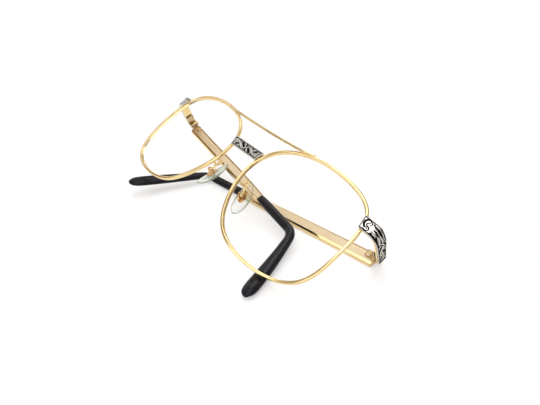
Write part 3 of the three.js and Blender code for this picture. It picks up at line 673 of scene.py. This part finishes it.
def end_piece_design():
    """Scrollwork for an end piece, in mm: a cut S on a plain panel, leaves round the corner, then a vine."""
    raised = [
        stroke([(0.5, 0), (1.6, 0), (2.6, 0), (3.4, 0)], 2.5, 1.0),
        leaf((4.4, 2.25), (11.4, 1.5), -0.06, 0.66),
        leaf((4.9, 0.5), (12.2, 0.45), 0.05, 0.8),
        leaf((4.5, -0.75), (7.9, -1.5), 0.07, 0.66),
        leaf((7.6, -0.75), (11.8, -1.35), 0.07, 0.62),
    ]
    cuts = [
        stroke([(3.0, 2.1), (1.75, 1.85), (1.1, 0.8), (1.2, -0.4), (1.95, -1.1), (2.6, -0.9)], 0.44, 0.4),
        stroke(
            [(2.95, 0.95), (2.4, 0.75), (2.2, 0.1), (2.75, -0.35), (3.5, -0.45), (3.95, -1.15), (3.5, -1.85),
             (2.6, -2.0), (1.5, -1.9)], 0.25, 0.6),
        stroke([(3.35, 0.55), (3.9, 1.1), (3.6, 1.75), (3.0, 1.6), (3.0, 1.25)], 0.2, 0.6),
        dot(3.05, -1.15, 0.26),
        leaf((5.4, 1.8), (10.2, 1.5), -0.06, 0.22),
        stroke([(4.3, 1.7), (5.6, 1.15), (7.6, 0.95), (9.6, 1.0), (11.6, 1.25)], 0.3, 0.5),
        leaf((4.6, -0.95), (7.2, -1.35), 0.07, 0.13),
        leaf((8.2, -0.95), (11.0, -1.3), 0.07, 0.13),
    ]
    cuts += [dot(5.9 + 0.95 * k, 0.55 + 0.22 * (-1) ** k, 0.2) for k in range(6)]
    vine = [
        (11.5, -0.9), (12.7, 0.5), (14.0, 1.05), (15.4, 0.3), (16.6, -0.9),
        (17.9, -1.0), (19.2, 0.3), (20.4, 1.0), (21.6, 0.4),
    ]
    raised.append(stroke(vine, 0.26, 0.75))
    for start, end, bend, wide in (
        ((12.6, -0.3), (13.8, -1.6), -0.16, 0.4), ((13.5, 0.35), (15.9, -1.35), 0.16, 0.48),
        ((15.6, 0.6), (16.9, 1.7), 0.16, 0.4), ((16.4, -0.2), (18.9, 1.4), -0.16, 0.48),
        ((18.8, -0.4), (20.0, -1.6), -0.16, 0.4), ((19.8, 0.3), (21.8, -1.15), 0.16, 0.44),
    ):
        raised.append(leaf(start, end, bend, wide))
        cuts.append(leaf(mix(start, end, 0.25), mix(start, end, 0.85), bend, 0.15))
    raised += [
        leaf((11.9, 1.6), (13.0, 1.75), 0.1, 0.28), leaf((14.8, 1.7), (15.7, 1.75), 0.1, 0.22),
        leaf((17.1, -1.75), (18.3, -1.75), -0.1, 0.24), leaf((21.0, 1.7), (21.9, 1.4), -0.1, 0.26),
    ]
    return raised, cuts


def bridge_design():
    """Scrollwork for the bridge, in mm: one vine that waves from end to end, with leaves in its bays."""
    half_stem = [
        (0, 0), (1.2, 0.95), (2.7, 1.15), (4.2, 0.35), (5.4, -0.85), (6.8, -1.2), (8.2, -0.5), (8.8, 0.3),
    ]
    stem = [(-x, -y) for x, y in reversed(half_stem[1:])] + half_stem
    side = [
        leaf((0.7, -0.1), (2.7, -1.5), -0.16, 0.52), leaf((1.9, 0.5), (4.5, -1.2), 0.16, 0.56),
        leaf((4.6, 0.3), (6.3, 1.5), 0.16, 0.5), leaf((5.2, -0.35), (8.3, 0.95), -0.14, 0.56),
        leaf((4.0, 1.5), (5.2, 1.45), 0.1, 0.24), leaf((6.9, 1.4), (8.7, 1.35), -0.08, 0.3),
        leaf((7.4, -1.45), (8.8, -1.0), 0.12, 0.34), leaf((3.6, -1.5), (4.9, -1.4), -0.1, 0.26),
        leaf((-0.4, 1.5), (0.9, 1.5), 0.1, 0.3),
    ]
    veins = [
        leaf((1.1, -0.5), (2.4, -1.3), -0.16, 0.12), leaf((2.3, 0.1), (4.1, -1.0), 0.16, 0.12),
        leaf((4.9, 0.6), (6.0, 1.3), 0.16, 0.11), leaf((5.8, -0.1), (7.8, 0.75), -0.14, 0.12),
    ]
    return [stroke(stem, 0.3, 0.75)] + side + turned(side), veins + turned(veins)


def ridge(run, u, v):
    """Height of a raised run over a grid: round-shouldered, one at its middle and nothing past its width."""
    best = np.full(u.shape, 9.0)
    for x, y, half in run:
        near = np.hypot(u - x, v - y) / half
        np.minimum(best, near, out=best)
    return np.sqrt(np.clip(1 - best ** 2, 0, 1))


def plaque_sheet(lower, upper, step):
    """A fine grid over a plaque's outer face between its two edges, with its normals and its own measures."""
    middle = [(a + b) / 2 for a, b in zip(lower, upper)]
    along = np.cumsum([0] + [(b - a).length for a, b in zip(middle, middle[1:])])
    count = max(8, int(along[-1] / step))
    u = np.linspace(0, along[-1], count)
    low, high = smooth_run(lower, along, u), smooth_run(upper, along, u)
    tall = np.linalg.norm(high - low, axis=1)
    rows = max(6, int(tall.max() / step))
    share = np.linspace(0, 1, rows)
    face = low[:, None] + (high - low)[:, None] * share[None, :, None]
    normal = np.cross(np.gradient(face, axis=0), np.gradient(face, axis=1))
    normal /= np.linalg.norm(normal, axis=2, keepdims=True)
    near_front = Vector(normal[count // 8, rows // 2])
    if near_front.dot(Vector(front_axes()[2])) < 0:
        normal = -normal
    return face, normal, u, share, tall


def relief_height(u, share, tall, design, centred, border, border_line):
    """Height of the chasing over a plaque's grid, from nothing in the ground to one on its tops."""
    long = u[-1]
    u_mm = np.repeat((u - (long / 2 if centred else 0))[:, None], len(share), 1) / MM
    v_mm = (share - 0.5)[None, :] * tall[:, None] / MM
    from_sides = np.minimum(share, 1 - share)[None, :] * tall[:, None]
    edge = np.minimum(from_sides, np.minimum(u, long - u)[:, None])
    raised, veins = design()
    tops = np.max([ridge(run, u_mm, v_mm) for run in raised], axis=0)
    cuts = np.max([ridge(run, u_mm, v_mm) for run in veins], axis=0)
    field = np.clip((edge - border - border_line) / FIELD_SLOPE, 0, 1)
    rim = np.clip((border - edge) / BORDER_SLOPE + 0.5, 0, 1)
    work = np.clip(tops * FLAT_TOP, 0, 1) * (1 - np.clip(cuts * FLAT_TOP, 0, 1))
    return np.maximum(work * field, rim)


def sheet_faces(count, rows):
    """Faces of a plaque: its front grid, row by row, and a plain back that has two points to each column."""

    def front(i, j):
        return i * rows + j

    def back(i, j):
        return count * rows + 2 * i + j

    last = count - 1
    faces = []
    for i in range(last):
        faces += [
            (front(i, j), front(i + 1, j), front(i + 1, j + 1), front(i, j + 1)) for j in range(rows - 1)
        ]
        faces.append((front(i, 0), back(i, 0), back(i + 1, 0), front(i + 1, 0)))
        faces.append((front(i, rows - 1), front(i + 1, rows - 1), back(i + 1, 1), back(i, 1)))
        faces.append((back(i, 0), back(i, 1), back(i + 1, 1), back(i + 1, 0)))
    faces.append((*[front(0, j) for j in range(rows)], back(0, 1), back(0, 0)))
    faces.append((*[front(last, j) for j in reversed(range(rows))], back(last, 0), back(last, 1)))
    return faces


def chase(name, node, lower, upper, design, centred, border):
    """A plaque with scrollwork raised from a sunk ground inside a plain border, in place of its CAD node."""
    sizes = bpy.context.scene.eyewear_sizes
    face, normal, u, share, tall = plaque_sheet(lower, upper, sizes.relief_step)
    height = relief_height(u, share, tall, design, centred, border, sizes.border_line)
    top = face + normal * ((height - 1) * sizes.relief_depth)[:, :, None]
    back = face[:, [0, -1]] - normal[:, [0, -1]] * sizes.plaque_thickness
    points = np.concatenate([top.reshape(-1, 3), back.reshape(-1, 3)])
    piece = add_piece(name, points, sheet_faces(*height.shape), "silver", BODY_OF[node], "silver")
    relief = piece.data.attributes.new("relief", "FLOAT", "POINT")
    relief.data.foreach_set("value", np.concatenate([height.ravel(), np.ones(2 * len(u))]))
    work = bmesh.new()
    work.from_mesh(piece.data)
    bmesh.ops.recalc_face_normals(work, faces=work.faces)
    work.to_mesh(piece.data)
    work.free()
    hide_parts(node)
    return piece


def screw_outline(node, axis):
    """Top centre of a CAD screw, its head's radius and height, and half an outline with a rounded head."""
    corners = [v.co.copy() for v in NODES[node].data.vertices]
    middle = sum(corners, Vector()) / len(corners)
    heights = [(p - middle).dot(axis) for p in corners]
    on_top = [p for p, h in zip(corners, heights) if h > max(heights) - MERGE_GAP]
    centre = sum(on_top, Vector()) / len(on_top)
    profile = []
    for p in corners:
        height = (p - centre).dot(axis)
        profile.append((round(height, 6), round((p - centre - axis * height).length, 5)))
    bottom = min(heights) - max(heights)
    head = max(r for _, r in profile)
    shank = max(r for h, r in profile if h < bottom + PROFILE_GAP)
    tall = max(h for h, _ in profile) - min(h for h, r in profile if r > head - PROFILE_GAP)
    outline = [(bottom, 0), (bottom, shank), (-tall, shank), (-tall, head)]
    outline += [(-down * tall, out * head) for down, out in HEAD_ROUND]
    return centre, head, tall, outline + [(0, 0)]


def turned_screw(name, node, axis):
    """A slotted screw turned to the profile of its CAD node, whose axis points out of its head."""
    sizes = bpy.context.scene.eyewear_sizes
    centre, head, tall, outline = screw_outline(node, axis)
    side = axis.orthogonal().normalized()
    work = bmesh.new()
    made = [work.verts.new(centre + axis * h + side * r) for h, r in outline]
    edges = [work.edges.new(pair) for pair in zip(made, made[1:])]
    bmesh.ops.spin(
        work, geom=made + edges, cent=centre, axis=axis, angle=2 * math.pi, steps=sizes.screw_sides,
        use_merge=True,
    )
    bmesh.ops.remove_doubles(work, verts=work.verts, dist=MERGE_GAP)
    bmesh.ops.recalc_face_normals(work, faces=work.faces)
    mesh = bpy.data.meshes.new(name)
    work.to_mesh(mesh)
    work.free()
    piece = bpy.data.objects.new(name, mesh)
    bpy.context.scene.collection.objects.link(piece)
    # The slot is as deep as half of this block, which lies across the top of the head.
    slot = bmesh.new()
    bmesh.ops.create_cube(slot, size=1)
    turn = Matrix((side, axis.cross(side), axis)).transposed().to_4x4()
    spread = Matrix.Diagonal((3 * head, sizes.screw_slot, 1.1 * tall, 1))
    slot.transform(Matrix.Translation(centre) @ turn @ spread)
    carve(piece, slot, "DIFFERENCE")
    piece.data.materials.clear()
    piece.data.materials.append(finish("polished"))
    break_edges(piece, SCREW_EDGE, CUT_EDGE_ANGLE)
    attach(piece, BODY_OF[node])
    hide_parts(node)
    return piece


def oval_insert(name, node, edge_round):
    """A stamped pad insert: the plate and lugs of its CAD node, with the plate trimmed to an oval."""
    mesh = NODES[node].data
    broad = max(mesh.polygons, key=lambda f: f.area)
    corners = [mesh.vertices[i].co for i in broad.vertices]
    # The plate's broad side is two triangles, whose longest edge crosses the plate's middle.
    sides = [(b - a, (a + b) / 2) for a, b in zip(corners, corners[1:] + corners[:1])]
    (wide, _), (tall, _), (_, centre) = sorted(sides, key=lambda edge: edge[0].length)
    through = broad.normal * tall.length
    piece = add_piece(name, *welded(node), "copper", BODY_OF[node], "gold")
    work = bmesh.new()
    steps = [2 * math.pi * k / OVAL_STEPS for k in range(OVAL_STEPS)]
    oval = [centre + wide * math.cos(a) * OVAL_REACH + tall * math.sin(a) * OVAL_REACH for a in steps]
    ends = [[work.verts.new(p + through * way) for p in oval] for way in (-1, 1)]
    for k in range(OVAL_STEPS):
        work.faces.new((ends[0][k - 1], ends[0][k], ends[1][k], ends[1][k - 1]))
    for end in ends:
        work.faces.new(end)
    bmesh.ops.recalc_face_normals(work, faces=work.faces)
    carve(piece, work, "INTERSECT")
    piece.data.polygons.foreach_set("use_smooth", [False] * len(piece.data.polygons))
    break_edges(piece, edge_round, CUT_EDGE_ANGLE)
    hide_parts(node)
    return piece


class EYEWEAR_OT_rims(bpy.types.Operator):
    """Polish the eyewires, the brow bar and the bridge, and glaze the lenses"""

    bl_idname = "eyewear.rims"
    bl_label = "Rims, Bars and Lenses"

    def execute(self, context):
        sizes = context.scene.eyewear_sizes
        dress("brow_bar", "polished")
        dress("bridge_bar", "polished", sizes.edge_round)
        for side in SIDES:
            dress(f"{side}_rim", "polished", sizes.edge_round * RIM_EDGE, hard=False)
            dress(f"{side}_lens", "lens")
        return {"FINISHED"}


class EYEWEAR_OT_plaques(bpy.types.Operator):
    """Chase the scrollwork on the bridge and the end pieces"""

    bl_idname = "eyewear.plaques"
    bl_label = "Chased Plaques"

    def execute(self, context):
        sizes = context.scene.eyewear_sizes
        lower, upper = bridge_edges()
        chase("bridge_plaque_chased", "bridge_plaque", lower, upper, bridge_design, True, sizes.border)
        for side, sign in (("left", 1), ("right", -1)):
            node = f"{side}_endpiece_plaque"
            lower, upper = plaque_edges(node, sign)
            chase(f"{node}_chased", node, lower, upper, end_piece_design, False, sizes.end_border)
        return {"FINISHED"}


class EYEWEAR_OT_end_pieces(bpy.types.Operator):
    """Polish the brackets, the closing blocks and the hinges"""

    bl_idname = "eyewear.end_pieces"
    bl_label = "End Pieces and Hinges"

    def execute(self, context):
        sizes = context.scene.eyewear_sizes
        for side in SIDES:
            for node in ("endpiece", "rim_lock_upper", "rim_lock_lower"):
                dress(f"{side}_{node}", "polished", sizes.edge_round * BLOCK_EDGE)
            # The hinges take painted shade, dark brown in random patches.
            for node in ("front_hinge", "temple_hinge"):
                dress(f"{side}_{node}", "shade_painted", sizes.edge_round * HINGE_EDGE)
        return {"FINISHED"}


class EYEWEAR_OT_screws(bpy.types.Operator):
    """Turn the slotted hinge and closing screws"""

    bl_idname = "eyewear.screws"
    bl_label = "Screws"

    def execute(self, context):
        up = front_axes()[1]
        for side, sign in (("left", -1), ("right", 1)):
            hinge_axis = Vector(JOINTS[f"{side}_temple_hinge_turn"]["axis"]).normalized() * sign
            turned_screw(f"{side}_hinge_screw_slotted", f"{side}_hinge_screw", hinge_axis)
            turned_screw(f"{side}_rim_lock_screw_slotted", f"{side}_rim_lock_screw", -up)
        return {"FINISHED"}


class EYEWEAR_OT_temples(bpy.types.Operator):
    """Finish the temple bars, satin inside and polished on the bevels, and their acetate tips"""

    bl_idname = "eyewear.temples"
    bl_label = "Temples and Tips"

    def execute(self, context):
        sizes = context.scene.eyewear_sizes
        for side in SIDES:
            bar = dress(f"{side}_temple", "polished", sizes.edge_round)
            bar.data.materials.append(finish("satin"))
            inward = -Vector(MOUNTS[f"{side}_temple_outer_face"]["axis"]).normalized()
            for face in bar.data.polygons:
                face.material_index = 1 if face.normal.dot(inward) > SATIN_FACING else 0
            round_off(dress(f"{side}_temple_tip", "acetate"), "Tumbled form")
        return {"FINISHED"}


class EYEWEAR_OT_nose_pads(bpy.types.Operator):
    """Mould the clear nose pads and finish their arms and inserts"""

    bl_idname = "eyewear.nose_pads"
    bl_label = "Nose Pads"

    def execute(self, context):
        sizes = context.scene.eyewear_sizes
        for side in SIDES:
            dress(f"{side}_pad_arm", "polished")
            oval_insert(f"{side}_pad_insert_oval", f"{side}_pad_insert", sizes.edge_round * INSERT_EDGE)
            dress(f"{side}_pad_pin", "polished", sizes.edge_round * PIN_EDGE)
            node = f"{side}_nose_pad"
            pad = add_piece(f"{node}_moulded", *welded(node), "silicone", BODY_OF[node], "silicone")
            round_off(pad, "Moulded form")
            apply_modifiers(pad)
            mark_lip(pad, sizes.pad_lip)
            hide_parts(node)
        return {"FINISHED"}


def lay_table(scene, stage):
    """The white sheet that the eyeglasses lie on."""
    half = stage.table_size / 2
    corners = [(-half, -half, 0), (half, -half, 0), (half, half, 0), (-half, half, 0)]
    mesh = bpy.data.meshes.new("white_table")
    mesh.from_pydata(corners, [], [(0, 1, 2, 3)])
    mesh.materials.append(finish("paper"))
    table = bpy.data.objects.new("white_table", mesh)
    scene.collection.objects.link(table)


def build_room(scene, stage):
    """White overhead, falling to walls in warm shade, which are lighter behind the table's far left."""
    world = bpy.data.worlds.new("White studio")
    scene.world = world
    world.use_nodes = True
    tree = world.node_tree
    tree.nodes.clear()
    path = add_node(tree, "ShaderNodeLightPath").outputs
    direction = add_node(tree, "ShaderNodeTexCoord").outputs["Generated"]
    height = add_node(tree, "ShaderNodeSeparateXYZ", {0: direction}).outputs["Z"]
    ceiling = add_node(
        tree, "ShaderNodeMapRange", {"Value": height, "From Min": 0.3, "From Max": 0.65},
        interpolation_type="SMOOTHSTEP",
    )
    far_left = add_node(
        tree, "ShaderNodeVectorMath", {0: direction, 1: TOWARDS_LIT_WALL}, operation="DOT_PRODUCT"
    )
    lit = add_node(
        tree, "ShaderNodeMapRange", {"Value": far_left.outputs["Value"], "From Min": 0.0, "From Max": 0.7}
    )
    walls = add_node(
        tree, "ShaderNodeMix",
        {"Factor": lit.outputs[0], 6: opaque(stage.wall), 7: opaque(stage.wall_lit)}, data_type="RGBA",
    )
    room = add_node(
        tree, "ShaderNodeMix",
        {"Factor": ceiling.outputs[0], 6: walls.outputs[2], 7: opaque([stage.sky] * 3)}, data_type="RGBA",
    )
    # Near the horizon the eye, the metal and the glass see white, as if the paper ran on.
    horizon = add_node(tree, "ShaderNodeMapRange", {"Value": height, "From Min": 0.24, "From Max": 0.16})
    backdrop = add_node(
        tree, "ShaderNodeMath", {0: seen_rays(tree, path), 1: horizon.outputs[0]}, operation="MULTIPLY"
    )
    # Below the table all is white, and lights the temples when they swing there.
    below = add_node(tree, "ShaderNodeMapRange", {"Value": height, "From Min": -0.02, "From Max": -0.1})
    plain = add_node(
        tree, "ShaderNodeMath", {0: backdrop.outputs[0], 1: below.outputs[0]}, operation="MAXIMUM"
    )
    white = add_node(
        tree, "ShaderNodeMix", {"Factor": plain.outputs[0], 6: room.outputs[2], 7: WHITE}, data_type="RGBA"
    )
    glow = add_node(tree, "ShaderNodeBackground", {"Color": white.outputs[2], "Strength": 1.0})
    add_node(tree, "ShaderNodeOutputWorld", {"Surface": glow.outputs[0]})


def hang_lamps(scene):
    """Softboxes that look at the middle of the table."""
    for name, place, size, power in LAMPS:
        light = bpy.data.lights.new(name, "AREA")
        light.energy = power
        light.size = size
        lamp = bpy.data.objects.new(name, light)
        lamp.location = place
        lamp.rotation_euler = (-Vector(place)).to_track_quat("-Z", "Y").to_euler()
        scene.collection.objects.link(lamp)


def set_camera(scene, stage):
    """The camera of the photograph."""
    view = bpy.data.cameras.new("Photograph")
    view.sensor_width = SENSOR_WIDTH_MM
    view.lens = stage.focal_length
    view.clip_start = NEAR_CLIP
    view.clip_end = FAR_CLIP
    camera = bpy.data.objects.new("Photograph", view)
    camera.location = stage.camera_place
    camera.rotation_euler = Euler(stage.camera_turn, "XYZ")
    scene.collection.objects.link(camera)
    scene.camera = camera


class EYEWEAR_OT_stage(bpy.types.Operator):
    """Lay the white table, and set the lamps and the camera"""

    bl_idname = "eyewear.stage"
    bl_label = "Table, Lamps and Camera"

    def execute(self, context):
        scene = context.scene
        stage = scene.eyewear_stage
        scene.view_settings.view_transform = "Standard"
        lay_table(scene, stage)
        build_room(scene, stage)
        hang_lamps(scene)
        set_camera(scene, stage)
        return {"FINISHED"}


class EYEWEAR_PT_panel(bpy.types.Panel):
    """Lists the steps that dress the eyeglasses"""

    bl_label = "Aviator Eyeglasses"
    bl_idname = "EYEWEAR_PT_panel"
    bl_space_type = "VIEW_3D"
    bl_region_type = "UI"
    bl_category = "Eyewear"

    def draw(self, context):
        for step in STEPS:
            self.layout.operator(step.bl_idname)


STEPS = (
    EYEWEAR_OT_stage,
    EYEWEAR_OT_rims,
    EYEWEAR_OT_plaques,
    EYEWEAR_OT_end_pieces,
    EYEWEAR_OT_screws,
    EYEWEAR_OT_temples,
    EYEWEAR_OT_nose_pads,
)
CLASSES = (EyewearFinishes, EyewearSizes, EyewearStage, *STEPS, EYEWEAR_PT_panel)


def register():
    for cls in CLASSES:
        bpy.utils.register_class(cls)
    bpy.types.Scene.eyewear_finishes = PointerProperty(type=EyewearFinishes)
    bpy.types.Scene.eyewear_sizes = PointerProperty(type=EyewearSizes)
    bpy.types.Scene.eyewear_stage = PointerProperty(type=EyewearStage)


def unregister():
    del bpy.types.Scene.eyewear_stage
    del bpy.types.Scene.eyewear_sizes
    del bpy.types.Scene.eyewear_finishes
    for cls in reversed(CLASSES):
        bpy.utils.unregister_class(cls)


def main():
    register()
    bpy.ops.eyewear.stage()
    bpy.ops.eyewear.rims()
    bpy.ops.eyewear.plaques()
    bpy.ops.eyewear.end_pieces()
    bpy.ops.eyewear.screws()
    bpy.ops.eyewear.temples()
    bpy.ops.eyewear.nose_pads()


if __name__ == "__main__":
    main()
